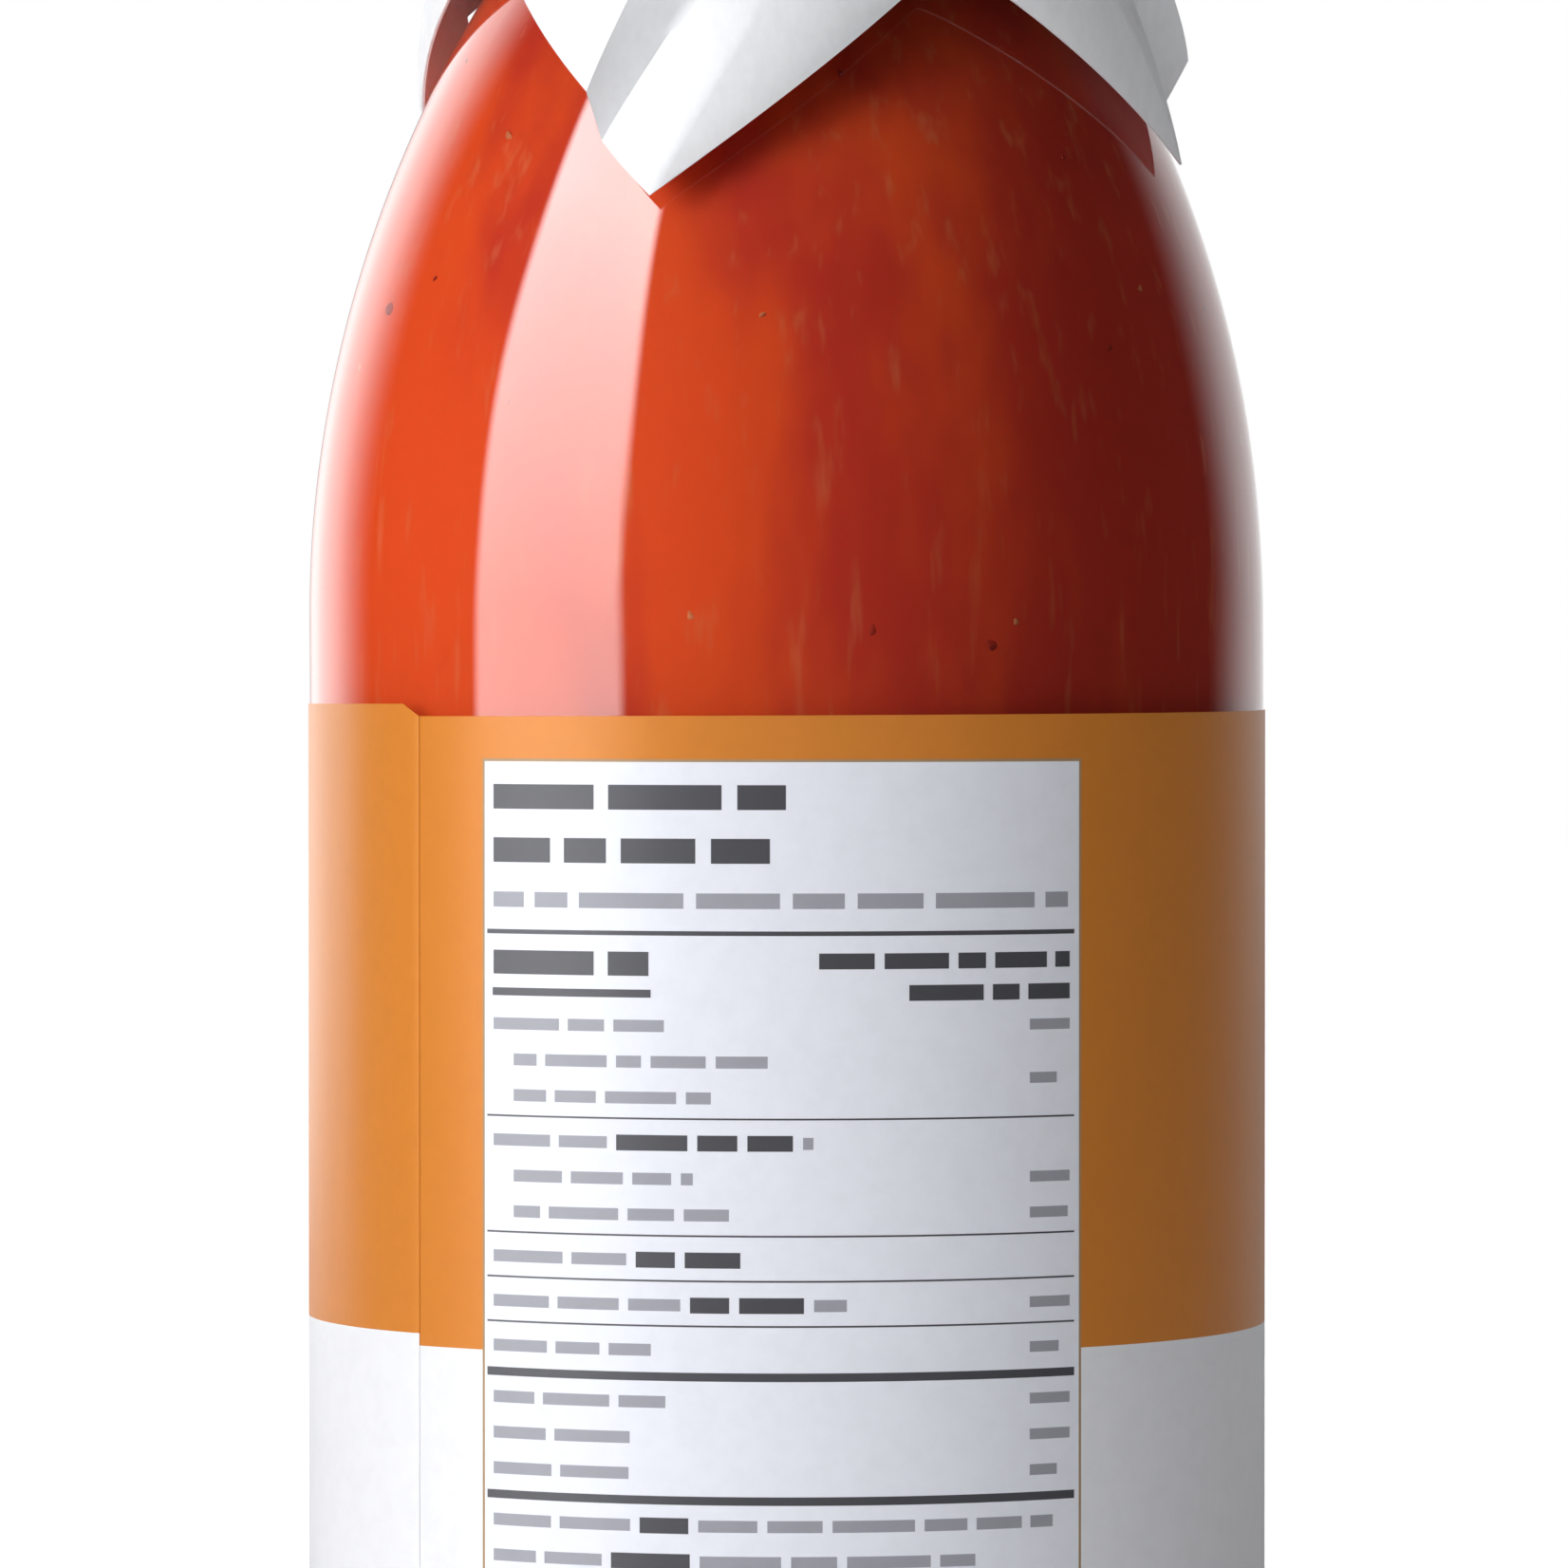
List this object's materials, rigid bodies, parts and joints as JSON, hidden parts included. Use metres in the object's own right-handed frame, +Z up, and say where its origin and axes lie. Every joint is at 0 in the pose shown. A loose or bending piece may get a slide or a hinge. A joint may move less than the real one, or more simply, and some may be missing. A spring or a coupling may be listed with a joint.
{
  "type": "tomato sauce jar",
  "caption": "Wide-shouldered clear glass jar of tomato sauce with a wrap-round paper label and a square paper hood draped over its screw cap.",
  "frame": {"origin": "on the jar's axis, at the plane it stands on", "axes": "+Z up along the jar's axis, -Y towards the side with the printed table, +X to that side's right"},
  "size_m": [0.088, 0.088, 0.1863],
  "materials": {
    "clear_glass": "clear blown glass",
    "sauce": "smooth thick tomato sauce",
    "label_paper": "satin printed label paper",
    "cap_metal": "white lacquered tinplate",
    "hood_paper": "smooth white wrapping paper"
  },
  "bodies": {
    "root": {"glass_bottle": "clear_glass", "tomato_sauce": "sauce", "label": "label_paper", "screw_cap": "cap_metal", "paper_hood": "hood_paper"}
  },
  "joints": []
}
